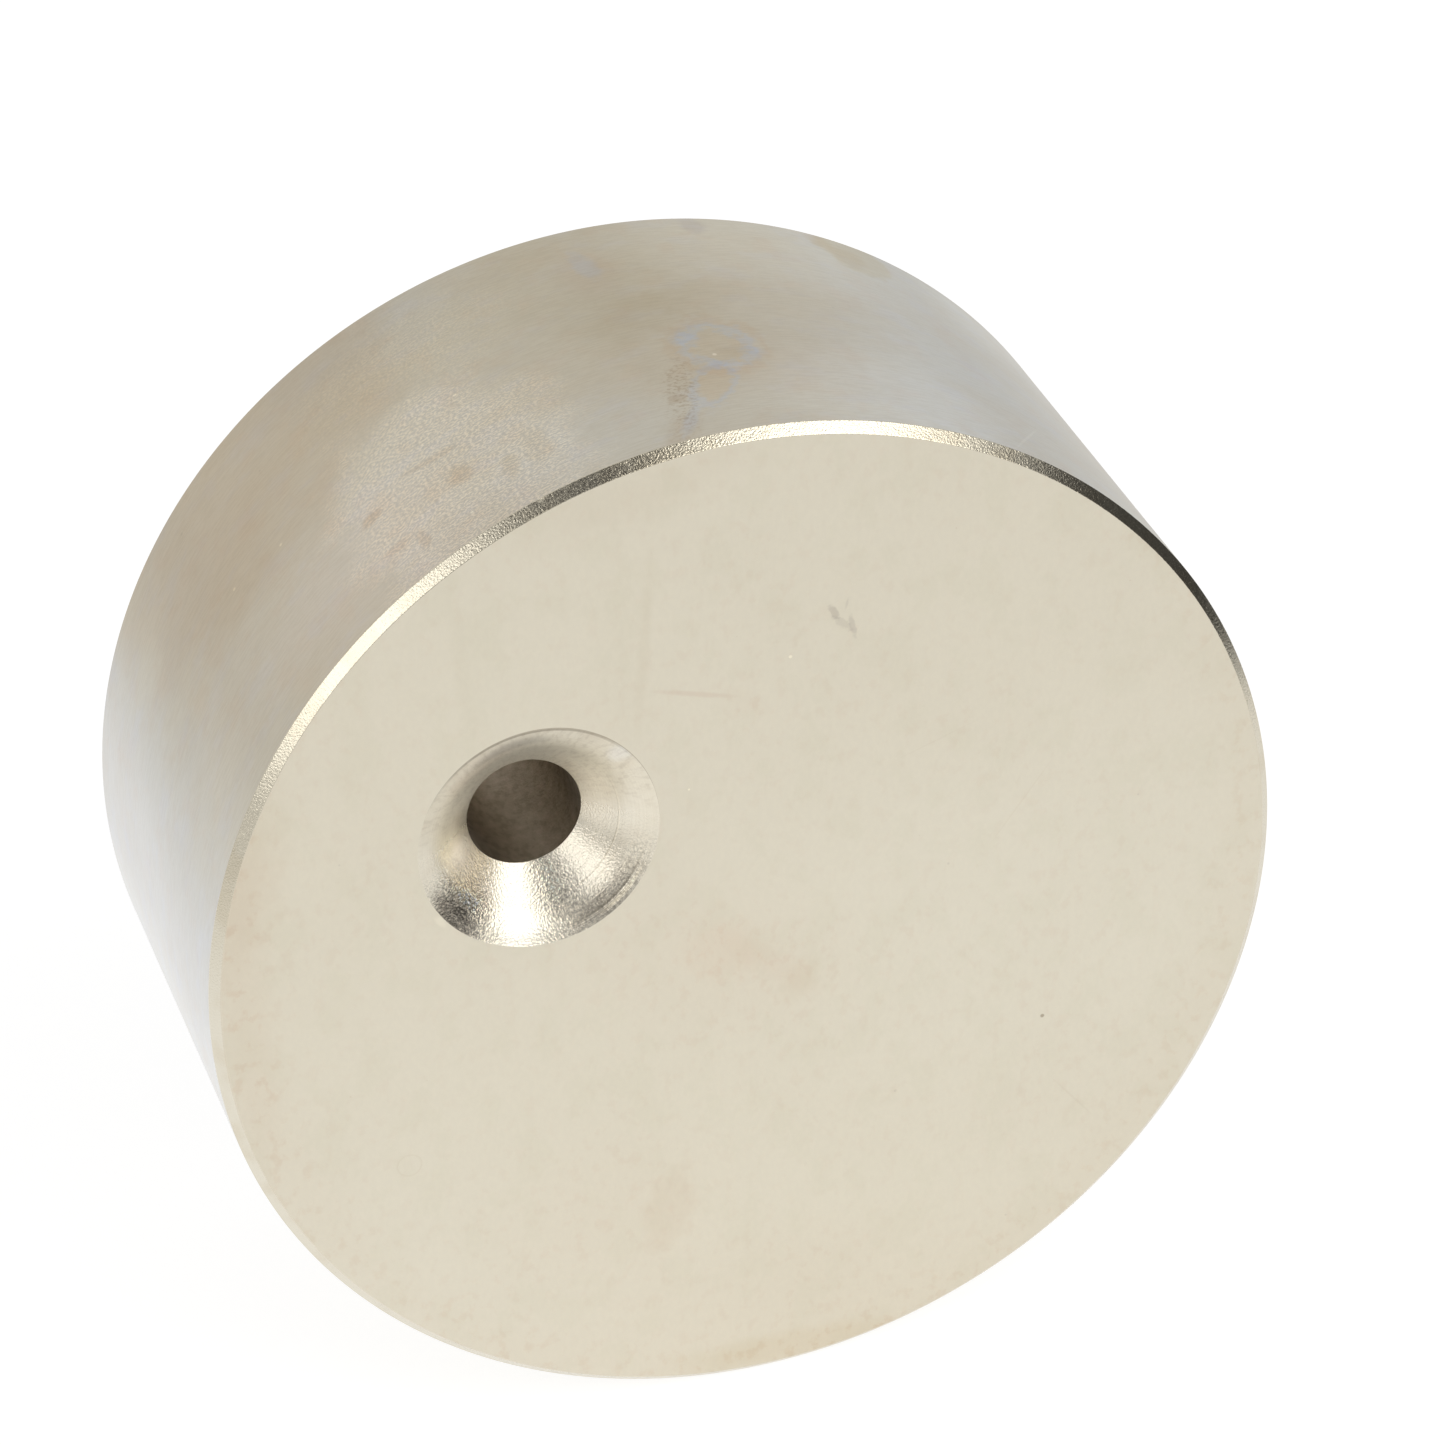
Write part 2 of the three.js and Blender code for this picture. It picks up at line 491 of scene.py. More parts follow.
# Noises of both faces; their tints are in the two looks
faceNoise = {
    "clouds": layer((0.06, 0.06, 1), 4.0, (0.35, 0.70)),
    "smudges": layer((0.30, 0.22, 1), 5.0, (0.48, 0.62)),
    "mottle": layer((0.95, 0.75, 1), 4.0, (0.50, 0.66)),
    "mottleFade": layer((0.06, 0.06, 1), 4.0, (0.40, 0.62, 0.45, 1.0)),   # weaker outside the clouds
    "dusting": layer((2.4, 1.6, 1), 3.0, (0.42, 0.62), (1.013, 1.013, 1.010)),
    "grainCells": (5.5, 5.5, 1),
    "specks": {"Cells": 1.3, "Level": 0.77, "Softness": 0.03},
    "speckTint": (0.93, 0.90, 0.87),
}

faceLook = {
    "roughness": 0.34,
    "roughSpread": 0.05,
    "tone": (1.012, 1.014, 1.018),
    "clouds": (0.985, 0.982, 0.978),     # broad clouds
    "mottle": (0.982, 0.962, 0.955),     # small pinkish blotches
    "smudges": (0.982, 0.984, 0.975),    # larger grey-green ones
    "grainHeight": 0.0034,               # millimetres
    "marks": [
        # handling stain near the middle
        mark((-3.5, -2.2), (9.5, 5), palePink, turn=-14, soft=0.7, broken=0.5),
        mark((-2.6, -1.3), (2.9, 2.2), pink, turn=-25, wobble=1.4, broken=0.4),
        mark((1.2, -3.6), (4.2, 1.1), palePink, turn=-42, wobble=1.2),
        mark((3.3, -5.3), (1.8, 1.2), (0.975, 0.962, 0.945), turn=55, wobble=1.0),
        # crescent lower down, in its halo
        mark((-12, -23), (8, 6), palePink, turn=8, soft=0.7, broken=0.5),
        mark((-7.4, -23.3), (1.9, 3.5), (0.974, 0.955, 0.940), turn=-15, soft=0.28, wobble=0.9),
        # lighter to the right of the middle, which is painted light, and darker and pinker low down
        mark((22, -3), (18, 12), (1.02, 1.027, 1.035), soft=0.8),
        mark((1, -33.5), (15, 5.5), (0.977, 0.960, 0.950), soft=0.8, broken=0.3),
        # brown film by the rim at the bottom, and mottling all along the lower rim
        mark((2, -38.2), (8.5, 1.3), (0.95, 0.915, 0.86), turn=-2, broken=0.3),
        mark((0, 3.4), (38.2, 42.6), rim=(0.972, 0.950, 0.932), line=0.10, wobble=0.08, broken=0.7),
        mark((-37.2, -1), (1.5, 12), (0.98, 0.955, 0.945), wobble=1.2, broken=0.5),
        # a thin dark line along the upper edge of the hole, and a painted highlight: a small light spot
        # outside the hole's lower left edge
        mark((-15.55, 10.985), (8.78, 8.78), rim=(0.56, 0.53, 0.50), line=0.007, wobble=0.002, cells=0.3),
        mark((-23.1, 5.7), (0.55, 0.26), (1.08,) * 3, turn=-52, wobble=0.5),
        # faint upright wipes above the hole and beside it
        mark((-20.4, 25.5), (0.55, 6.6), (0.978, 0.978, 0.970), turn=3, wobble=0.9, soft=0.7),
        mark((-19, 26), (1.3, 6), (0.988, 0.99, 0.985), soft=0.8),
        mark((-7.3, 25), (0.40, 6), (0.970, 0.962, 0.950), turn=-6, wobble=0.9, soft=0.7),
        mark((-9.2, 25.5), (1.4, 7), (0.985, 0.985, 0.98), turn=2, soft=0.8),
        # brownish handling along the left edge and the top edge
        mark((-37.4, 11.5), (2.6, 6), (0.955, 0.930, 0.910), turn=-18, soft=0.7, wobble=1.2),
        mark((-8, 36.6), (7.5, 2), (0.965, 0.955, 0.945), turn=12, soft=0.7, wobble=1.2),
        # thin pink scrape that ends in a smear
        mark((-3.8, 20.2), (2.7, 0.20), (0.95, 0.91, 0.90), turn=-16, cells=1.2),
        mark((-0.2, 18.8), (2, 0.9), (0.97, 0.94, 0.925), turn=-35, wobble=1.2, broken=0.7),
        # dark scuff of a few short strokes
        mark((6.6, 24.6), (0.26, 0.68), (0.84, 0.83, 0.84), turn=26, cells=2.0, wobble=1.4, soft=0.35),
        mark((7.95, 23.2), (0.22, 0.80), (0.87, 0.865, 0.88), turn=12, cells=2.0, wobble=1.6, soft=0.35),
        mark((7.2, 23.6), (0.85, 0.28), (0.90, 0.895, 0.90), turn=-42, cells=2.0, wobble=2.0, soft=0.35),
        mark((7.55, 25.1), (0.10, 0.40), grey, turn=-14, cells=2.0),
        # hair scratches
        mark((20.5, 6), (3.6, 0.07), (0.975, 0.965, 0.955), turn=52, wobble=0.4),
        mark((24.4, -21), (2.3, 0.08), (0.965, 0.955, 0.95), turn=-52, wobble=0.4),
        mark((14, 12.5), (2.8, 0.06), (0.978, 0.97, 0.965), turn=18, wobble=0.4),
        mark((-26.6, -14.4), (0.9, 0.9), rim=(0.965, 0.955, 0.94), wobble=0.2, line=0.14),
    ],
    # small dots: place, half size, tint
    "dots": [
        ((22.0, -13.1), 0.15, (0.62, 0.58, 0.54)), ((14.8, 1.9), 0.10, grey), ((10.4, -17.0), 0.11, grey),
        ((3.3, 21.7), 0.12, bright), ((-14.1, 3.1), 0.10, grey), ((19.0, -30.5), 0.09, grey),
        ((29.5, 4.5), 0.08, grey), ((-30.0, 12.0), 0.08, grey), ((-4.5, 12.5), 0.08, bright),
    ],
}

backLook = {
    "roughness": 0.36,
    "roughSpread": 0.05,
    "tone": (0.985, 0.98, 0.97),
    "clouds": (0.965, 0.96, 0.95),
    "mottle": (0.975, 0.95, 0.94),
    "smudges": (0.975, 0.975, 0.965),
    "grainHeight": 0.0036,
    "marks": [
        # the ring that an eye nut's collar has rubbed round the hole
        mark((-15.6, 10.9), (11.5, 11.5), rim=(0.90, 0.875, 0.84), wobble=0.16, line=0.05, broken=0.6),
        mark((-15.6, 10.9), (10.4, 10.4), rim=(1.05,) * 3, wobble=0.12, line=0.05, broken=0.5),
        mark((14, -12), (13, 7), palePink, turn=24, wobble=1.4, broken=0.4),
        mark((20, 18), (3.4, 2.6), (0.975, 0.945, 0.91), turn=30, rim=blue, rimAmount=0.6, wobble=0.9,
             line=0.16),
        mark((-22, -20), (6, 0.16), (0.88, 0.87, 0.86), turn=37),
        mark((-17.5, -24), (3.2, 0.10), (0.92, 0.91, 0.90), turn=31),
        mark((2, 30), (9, 3), paleBrown, turn=-8, wobble=1.4, broken=0.4),
        mark((0, 3.4), (38.2, 42.6), rim=(0.955, 0.925, 0.90), line=0.10, wobble=0.08, broken=0.85),
    ],
    "dots": [
        ((8.0, -24.0), 0.14, (0.7, 0.66, 0.6)), ((-6.0, 22.0), 0.12, grey), ((25.0, -4.0), 0.10, bright),
        ((-28.0, 2.0), 0.11, grey), ((4.0, 8.0), 0.10, bright),
    ],
}


def makeFaceMaterial(name, look):
    # colour = nickel, times the clouds, smudges, mottle and dusting where their own noise is high,
    # times the marks and specks; roughness and height follow the fine grain
    material, tree, shader, place, _, colour = startMaterial(name, look)
    fine = grain(tree, place, faceNoise["grainCells"])
    mottle = layerMask(tree, place, faceNoise["mottle"])
    fade = layerMask(tree, place, faceNoise["mottleFade"])
    for key in ("clouds", "smudges"):
        colour = tinted(tree, colour, look[key], layerMask(tree, place, faceNoise[key]))
    colour = tinted(tree, colour, look["mottle"], calc(tree, "MULTIPLY", mottle, fade))
    colour = addLayer(tree, colour, place, faceNoise["dusting"])
    colour = addMarks(tree, colour, place, look["marks"] + dotMarks(look["dots"]), mottle)
    specks = use(tree, speckGroup, {"Vector": place, **faceNoise["specks"]})["Specks"]
    colour = tinted(tree, colour, faceNoise["speckTint"], specks)
    finishGrain(tree, shader, look, colour, fine)
    return material


wallLook = {
    "roughness": 0.33,
    "roughSpread": 0.05,
    "tone": (0.970, 0.973, 0.980),
    # short fine streaks round the rim, broad tan patches, small bluish and pinkish spots
    "streaks": layer((0.55, 5.5, 1), 3.0, (0.40, 0.62), (0.945, 0.94, 0.93)),
    "patches": layer((0.05, 0.09, 1), 4.0, (0.40, 0.65), (0.975, 0.955, 0.925)),
    "coolSpots": layer((0.22, 0.40, 1), 4.0, (0.50, 0.66), (0.99, 1.0, 1.045)),
    "warmSpots": layer((0.35, 0.28, 1), 4.0, (0.50, 0.66), (1.0, 0.975, 0.96)),
    "speckles": layer((3.6, 6.0, 1), 3.0, (0.46, 0.58), (1.33, 1.28, 1.21)),
    "mottle": layer((2.6, 3.4, 1), 4.0, (0.48, 0.60), (0.985, 0.975, 0.96)),
    "mottleAmount": 0.7,
    "grainCells": (4.5, 4.5, 1),
    "streakHeight": 0.0016,            # millimetres
    "roughGrainHeight": 0.034,         # in the speckled patch
    "speckled": [
        mark((18.5, 8.5), (8.5, 13.5), turn=-6, soft=0.35, wobble=1.0, cells=0.25),
        mark((17.5, 26.5), (7, 5.5), soft=0.8, wobble=1.4, cells=0.3, strength=0.5),
    ],
    "marks": [
        # the smooth brown patch that ends in a curve, and its darkest part
        mark((33, 34), (16.5, 18.5), (0.965, 0.925, 0.885), turn=-8, soft=0.18, wobble=0.7, cells=0.10),
        mark((38, 23.5), (7, 7), (0.97, 0.945, 0.92), soft=0.8),
        mark((37.5, 9.5), (9, 7), (1.0, 0.985, 0.978), soft=0.7),
        # painted shade and painted reflections: a darker strip further left, lighter bluish plating over and
        # beside the speckled patch, a little darker behind it
        mark((52.5, 11), (5.5, 20), (0.90, 0.90, 0.88), turn=8, soft=0.8, cells=0.1),
        mark((27.5, 6.5), (7, 7.5), (1.05, 1.04, 1.07), soft=0.7, cells=0.2),
        mark((18.5, 8), (8, 12.5), (1.0, 1.02, 1.07), turn=-6, soft=0.4, cells=0.25),
        mark((18, 27), (8.5, 6.5), (0.965, 0.97, 0.965), soft=0.6, cells=0.2),
        # olive film behind the water marks, browner at its lower edge, lighter plating to the right of it
        mark((4.5, 26), (7.5, 10.5), (0.965, 0.955, 0.925), soft=0.6, cells=0.2),
        mark((1.5, 22), (5, 5), (0.955, 0.945, 0.92), soft=0.7, cells=0.2),
        mark((-7.5, 18.5), (9, 5.5), (0.935, 0.91, 0.87), turn=6, soft=0.6, cells=0.2, wobble=1.2),
        mark((-8, 27), (8, 8.5), (1.01, 0.995, 0.965), soft=0.7, cells=0.2),
        # painted reflections of cool light, lighter and bluish: low on the right, high on the right, at the
        # far left and under the speckles
        mark((-24.5, 5), (13.5, 12), (0.98, 1.02, 1.10), turn=14, cells=0.15),
        mark((-28, 26), (11, 13), (0.97, 1.0, 1.06), soft=0.6, cells=0.15),
        mark((-12.5, 5.5), (8.5, 6), (1.08, 1.105, 1.15), turn=10, cells=0.2, wobble=1.0),
        mark((-24, 30), (9, 7), (1.05, 1.07, 1.10), soft=0.6),
        mark((9, 5), (6.5, 5), (1.02, 1.05, 1.11), soft=0.7),
        mark((70, 17), (22, 45), (0.99, 1.025, 1.12), soft=0.25, cells=0.1),
        mark((71, 14), (6, 40), (1.13, 1.14, 1.15), soft=0.7, cells=0.1),
        # painted light and shade: lighter by the back edge on the right, darker by it and by the front edge
        # on the left
        mark((-12, 33), (9, 5.5), (1.05, 1.05, 1.04), soft=0.6, cells=0.2),
        mark((20, 33), (9, 5.5), (0.94, 0.95, 0.98), soft=0.6, cells=0.2),
        mark((18, 2), (6, 3), (0.945, 0.93, 0.92), soft=0.7, cells=0.3),
        mark((-32, 33), (6, 6), (1.08, 1.10, 1.13), soft=0.7, cells=0.2),
        # brown dots in the speckled patch
        mark((25, 11), (0.95, 0.6), brown, turn=-10, wobble=1.4, cells=0.9),
        mark((19.2, 12.4), (2.2, 0.4), (0.92, 0.89, 0.86), turn=8, wobble=1.4, cells=0.9),
        mark((18, 8.6), (0.85, 1.25), (0.92, 0.875, 0.83), wobble=1.4, cells=0.8),
        mark((14.7, 6.3), (0.6, 1.6), (0.93, 0.90, 0.85), turn=6, wobble=1.4, cells=0.8),
        mark((12.6, 6.8), (1.1, 2.3), (0.94, 0.91, 0.86), turn=-6, wobble=1.2, cells=0.7),
        mark((22.5, 4.4), (0.45, 1.1), (0.90, 0.86, 0.83), wobble=1.4, cells=0.9),
        mark((24.2, 5.9), (1.2, 0.5), (0.94, 0.905, 0.87), wobble=1.4, cells=0.9),
        # water marks at the top. First the round one: halo, blue ring, tan middle
        mark((-5.2, 9.8), (7.5, 4.2), (0.93, 0.885, 0.83), turn=14, soft=0.8),
        mark((-2.9, 13.2), (3.3, 4.1), rim=(0.99, 0.95, 0.915), line=0.26, wobble=0.9, cells=0.8),
        mark((-2.8, 13.2), (2.3, 3), (1.0, 0.985, 0.955), rim=blue, wobble=1.5, cells=0.9, soft=0.25,
             line=0.34),
        mark((-5, 12), (0.9, 0.7), blue, turn=40, amount=0.7, wobble=1.4),
        mark((-0.9, 14.8), (1, 0.9), blue, turn=20, amount=0.75, wobble=1.6, cells=1.0),
        mark((-3.8, 12.2), (1.3, 0.8), (0.95, 0.935, 0.91), wobble=1.2),
        # then the drop that ran from it towards the face, and the tail of the drop
        mark((-0.8, 7.7), (1.35, 2.9), (1.01, 0.97, 0.92), turn=27, rim=blue, wobble=1.2, cells=1.0,
             soft=0.3, line=0.34),
        mark((2.3, 3.3), (0.45, 2.2), blue, turn=28, amount=0.8, wobble=1.6, cells=1.1),
        mark((3.1, 2.2), (1.1, 2.4), (0.91, 0.86, 0.81), turn=25, broken=0.4),
        mark((1.7, 7.6), (1.1, 4.2), (0.84, 0.79, 0.74), turn=14, wobble=1.8, broken=0.95),
        mark((2.3, 6.6), (0.6, 0.6), brown, wobble=1.4, cells=1.4),
        # small stains near the back edge
        mark((2.5, 27.4), (1.9, 3.6), (0.985, 0.955, 0.95), soft=0.6),
        mark((2.3, 28.4), (0.75, 2.1), blue, turn=-8, amount=0.85, wobble=1.8, cells=0.9),
        mark((-7.3, 33), (0.9, 1.2), (0.91, 0.90, 0.93), wobble=1.2),
        mark((-20.4, 32.2), (3, 3.6), (0.955, 0.91, 0.81), turn=-20, soft=0.14, wobble=1.0, cells=0.35),
        mark((-19.6, 31.4), (1.4, 1.6), (0.96, 0.925, 0.87), wobble=1.2),
        mark((-17.6, 33.4), (1, 1.4), (0.97, 0.94, 0.89), wobble=1.2),
        # light scratches
        mark((-24.2, 4.6), (0.10, 3.7), (1.08, 1.09, 1.10), turn=36, wobble=0.4),
        mark((-28.2, 12.5), (0.08, 2), (1.05, 1.05, 1.06), turn=70, wobble=0.4),
    ],
    "dots": [
        ((36.8, 19.1), 0.14, bright), ((31.8, 17.5), 0.13, bright), ((15.5, 18.1), 0.16, bright),
        ((18.7, 3.6), 0.14, bright), ((-2.2, 11.9), 0.16, (1.3, 1.33, 1.4)), ((38.7, 31.0), 0.13, grey),
        ((54.3, 14.4), 0.8, palePink), ((-14.0, 20.0), 0.1, grey), ((30.5, 27.0), 0.1, grey),
    ],
}


def makeWallMaterial(name, look):
    # colour = nickel, times the streaks, patches and spots where their own noise is high, times the
    # marks; in the speckled patch the grain stands higher and its speckles are light
    material, tree, shader, place, _, colour = startMaterial(name, look)
    fine = grain(tree, place, look["grainCells"])
    streaks = layerNoise(tree, place, look["streaks"])
    mottle = layerMask(tree, place, look["mottle"])
    speckled = zoneMask(tree, place, look["speckled"])
    for key in ("streaks", "patches", "coolSpots", "warmSpots"):
        colour = addLayer(tree, colour, place, look[key])
    colour = addMarks(tree, colour, place, look["marks"] + dotMarks(look["dots"]), mottle)
    colour = addLayer(tree, colour, place, look["speckles"], speckled)
    mottled = calc(tree, "MULTIPLY", mottle, look["mottleAmount"])
    colour = tinted(tree, colour, look["mottle"]["tint"], mottled)
    roughHeight = calc(tree, "MULTIPLY", calc(tree, "MULTIPLY", speckled, fine), look["roughGrainHeight"])
    height = calc(tree, "MULTIPLY_ADD", streaks, look["streakHeight"], roughHeight)
    finishShader(tree, shader, colour, roughOver(tree, look, fine), height)
    return material


chamferLook = {
    "roughness": 0.17,
    "roughSpread": 0.10,
    "tone": (0.99, 0.985, 0.97),
    "clouds": layer((0.3,) * 3, 2.0, (0.45, 0.70), (0.95, 0.93, 0.90)),
    "grainHeight": 0.026,
    "grainCells": 7.0,
    # painted glints, light and dark, in these zones of the grain
    "paintedGlintCells": 4.7,
    "paintedGlintAt": [
        mark((11.5, 0.5), (7, 4), soft=0.7, cells=0.2, strength=0.6),
        mark((-31, 0.5), (10, 4), cells=0.2, strength=0.3),
    ],
}


def makeChamferMaterial(name, look):
    # a ground edge: bright plating over a coarse grain, with painted glints light and dark in places
    material, tree, shader, place, where, colour = startMaterial(name, look)
    fine = grain(tree, where, (look["grainCells"],) * 3)
    colour = addLayer(tree, colour, where, look["clouds"])
    colour = addPaintedGlints(tree, colour, where, look["paintedGlintCells"], zoneMask(tree, place, look["paintedGlintAt"]))
    finishGrain(tree, shader, look, colour, fine)
    return material


sinkLook = {
    "roughness": 0.22,
    "roughSpread": 0.10,
    "roughAbove": 0.22,        # added above the hole's middle
    "anisotropy": 0.45,        # fine turning spreads the light across the rings,
    "anisotropyTurn": 0.25,    # a quarter turn from the tangent round the hole
    "tone": (1.04, 1.05, 1.08),
    "clouds": layer((0.35,) * 3, 3.0, (0.45, 0.70), (0.95, 0.935, 0.92)),
    "turning": layer((0.0, 9.0, 1), 3.0, (0.40, 0.60), (0.97, 0.965, 0.96)),   # the cutter's fine rings
    "turningHeight": 0.003,          # millimetres
    "chatter": layer((4.5, 2.0, 1), 3.0, (0.45, 0.65), (0.90, 0.89, 0.88)),
    "chatterHeight": 0.012,
    "chatterFrom": (-1.5, 3.0),      # where it comes in, from the height of the hole's middle
    "grainHeight": (0.018, 0.036),   # above the hole's middle and below it
    "grainFrom": (-4, 1),            # where the one gives way to the other
    "grainCells": 6.5,
    # painted glints, light and dark, in these zones of the grain
    "paintedGlintCells": 4.9,
    "paintedGlintAt": [
        mark((9.6, 0.7), (1.5, 1.1), soft=0.6, strength=1.2),
        mark((-11.9, 1.8), (1.1, 2.8), soft=0.6, strength=0.6),
        mark((-9.9, 0.45), (1.9, 0.7), soft=0.6, strength=0.65),
    ],
    # single deeper rings, low on the right and faint elsewhere: depth below the face, half width, height
    "ringsAt": mark((-9.9, 0.8), (2.6, 2.6), wobble=0.3),
    "ringsElsewhere": 0.15,
    "rings": [(0.15, 0.04, -0.014), (0.27, 0.045, 0.018), (0.52, 0.04, 0.006), (0.76, 0.05, 0.006),
              (1.72, 0.05, 0.008), (2.35, 0.04, 0.005)],
    "marks": [
        # painted reflections and painted shade: dark low on the left and on the right, a darker band at the
        # top, a painted highlight at the bottom, lighter on both sides, then a bluish painted glint and a
        # dark line along the upper edge
        mark((9.4, 0.30), (1.15, 0.40), (0.48, 0.47, 0.47), wobble=0.5),
        mark((-10.3, 0.40), (1.35, 0.42), (0.72, 0.71, 0.70), wobble=0.6),
        mark((12.3, 0.25), (0.7, 0.45), (1.16, 1.16, 1.18), soft=0.6),
        mark((0.9, 0.62), (1.4, 0.30), (0.74, 0.74, 0.75), soft=0.7, wobble=0.4),
        mark((0.8, 1.7), (1.6, 1.3), (0.87,) * 3, soft=0.8),
        mark((6.2, 3.1), (1.7, 1.3), (1.32, 1.32, 1.33), soft=0.8),
        mark((8, 2.8), (0.9, 1.2), (0.97, 0.975, 1.06), soft=0.8),
        mark((10.1, 2.4), (1, 1.5), (1.26, 1.25, 1.29), soft=0.8),
        mark((9.7, 1.25), (0.9, 0.35), (1.56, 1.49, 1.44), soft=0.6),
        mark((-5.2, 3.4), (2.6, 1.3), (1.20, 1.19, 1.19), soft=0.8),
        mark((-5.8, 1.6), (3.4, 2.4), (1.10, 1.09, 1.07)),
        mark((-3.5, 0.28), (0.36, 0.46), (1.08, 1.12, 1.21), turn=20, wobble=1.0, cells=1.5, soft=0.6),
        mark((0.1, 0.03), (3.3, 0.075), (0.62, 0.60, 0.58), wobble=0.5, cells=1.5),
        # painted light fills the gap between the two low highlights, and painted shade makes the right one a
        # little duller
        mark((-12.12, 2.8), (0.72, 1.55), (1.40,) * 3, soft=0.8),
        mark((-12.45, 0.43), (0.68, 0.33), (1.22,) * 3, soft=0.8),
        mark((-10.4, 2.4), (1.5, 1.8), (0.89, 0.89, 0.90), soft=0.8),
        # turned lines low on the right, as painted highlight and painted shade lines, and a long one round
        # the seat
        mark((-9.9, 0.2), (0.9, 0.06), (1.60, 1.58, 1.50), wobble=0.3),
        mark((-10.1, 0.36), (1.8, 0.035), (0.72, 0.71, 0.69), wobble=0.3),
        mark((-8.4, 1.68), (3.2, 0.035), (1.09, 1.08, 1.07), wobble=0.2),
        mark((-8.4, 1.76), (3.2, 0.035), (0.93, 0.925, 0.91), wobble=0.2),
        mark((-9.6, 1.40), (1.4, 0.03), (0.90, 0.895, 0.88), wobble=0.2),
        # warm spot near the top
        mark((2.2, 0.9), (1.6, 0.7), (1.0, 0.97, 0.96), wobble=1.2),
    ],
}


def makeSinkMaterial(name, look):
    # turned cones: rings that depend on the depth alone, under a grain with painted glints that gives way to
    # chatter marks above the hole's middle, with marks of painted reflection and painted shade; each deeper
    # ring is a ridge that falls from its height to 0 over its half width
    material, tree, shader, place, where, colour = startMaterial(name, look)
    roundTheHole = put(tree, "ShaderNodeTangent", direction_type="UV_MAP", uv_map="unrolled")
    tree.links.new(roundTheHole.outputs["Tangent"], shader.inputs["Tangent"])
    shader.inputs["Anisotropic"].default_value = look["anisotropy"]
    shader.inputs["Anisotropic Rotation"].default_value = look["anisotropyTurn"]
    middle = magnetSizes["holeOffset"] * math.sin(math.radians(magnetSizes["holeBearing"])) / mm
    up = put(tree, "ShaderNodeSeparateXYZ", {0: where}).outputs["Z"]
    upper = smooth(tree, up, *(middle + z for z in look["chatterFrom"]))
    colour = addLayer(tree, colour, where, look["clouds"])
    colour = addLayer(tree, colour, place, look["turning"])
    colour = addMarks(tree, colour, place, look["marks"])
    colour = addLayer(tree, colour, place, look["chatter"], upper)
    colour = addPaintedGlints(tree, colour, where, look["paintedGlintCells"], zoneMask(tree, place, look["paintedGlintAt"]))

    fine = grain(tree, where, (look["grainCells"],) * 3)
    above, below = look["grainHeight"]
    grainHeight = smooth(tree, up, *(middle + z for z in look["grainFrom"]), below, above)
    chatter = calc(tree, "MULTIPLY", upper, layerNoise(tree, place, look["chatter"]))
    turning = layerNoise(tree, place, look["turning"])
    height = calc(tree, "MULTIPLY", fine, grainHeight)
    height = calc(tree, "MULTIPLY_ADD", chatter, look["chatterHeight"], height)
    height = calc(tree, "MULTIPLY_ADD", turning, look["turningHeight"], height)
    depth = put(tree, "ShaderNodeSeparateXYZ", {0: place}).outputs["Y"]
    least = look["ringsElsewhere"]
    kept = calc(tree, "MULTIPLY_ADD", markMask(tree, place, look["ringsAt"])["Fill"], 1 - least, least)
    for level, width, ridge in look["rings"]:
        off = calc(tree, "ABSOLUTE", calc(tree, "SUBTRACT", depth, level))
        near = smooth(tree, off, 0.0, width, ridge, 0.0)
        height = calc(tree, "MULTIPLY_ADD", near, kept, height)
    roughness = calc(tree, "MULTIPLY_ADD", upper, look["roughAbove"], roughOver(tree, look, fine))
    finishShader(tree, shader, colour, roughness, height)
    return material


boreLook = {
    "roughness": 0.42,
    "roughSpread": 0.12,
    "tone": (0.87, 0.85, 0.87),
    "drill": layer((0.4, 1.2, 1), 2.0, (0.40, 0.60), (0.97, 0.96, 0.96)),
    "patches": layer((0.25, 0.12, 0.25), 3.0, (0.40, 0.65), (0.88, 0.86, 0.84)),
    "darkSpots": layer((1.6, 1.0, 1.6), 4.0, (0.50, 0.62), (0.84, 0.84, 0.81)),
    "lightSpots": layer((1.6, 1.0, 1.6), 4.0, (0.48, 0.34), (1.12, 1.10, 1.13)),
    "grainCells": 3.5,
    "grainHeight": 0.024,      # millimetres
}


def makeBoreMaterial(name, look):
    # duller plating down the hole, darker in patches, with light spiral drill marks
    material, tree, shader, place, where, colour = startMaterial(name, look)
    fine = grain(tree, where, (look["grainCells"],) * 3)
    colour = addLayer(tree, colour, place, look["drill"])
    for key in ("patches", "darkSpots", "lightSpots"):
        colour = addLayer(tree, colour, where, look[key])
    finishGrain(tree, shader, look, colour, fine)
    return material


magnetMesh = makeMagnetMesh("discMagnet", magnetSizes, *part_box("disc_magnet"))
for material in (makeFaceMaterial("workingFacePlating", faceLook),
                 makeFaceMaterial("backFacePlating", backLook),
                 makeWallMaterial("rimWallPlating", wallLook),
                 makeChamferMaterial("chamferPlating", chamferLook),
                 makeSinkMaterial("countersinkPlating", sinkLook),
                 makeBoreMaterial("borePlating", boreLook)):
    magnetMesh.materials.append(material)
discMagnet = addObject("discMagnet", magnetMesh)
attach(discMagnet, "root")
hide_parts("disc_magnet")
print("magnet made:", len(magnetMesh.polygons), "quads")


cameraSetup = {
    "aim": (4.1 * mm, 2.0 * mm, 5.1 * mm),
    "distance": 423 * mm,
    "azimuth": -16.97,     # degrees, 0 looks along +Y
    "elevation": 31.19,
    "roll": -2.13,
    "lens": 141.88,        # millimetres, on a sensor this wide
    "sensor": 36,
    "clip": (0.01, 20),    # metres
}

softboxes = {
    "keySoftbox": {"azimuth": 37, "elevation": 35.0, "distance": 0.70, "width": 0.48, "height": 0.56,
                   "level": 2.4, "tint": (1.0, 0.985, 0.96)},
    "sideSoftbox": {"azimuth": -55, "elevation": 28, "distance": 0.70, "width": 0.46, "height": 0.45,
                    "level": 1.34, "tint": (1.0, 0.99, 0.98)},
}

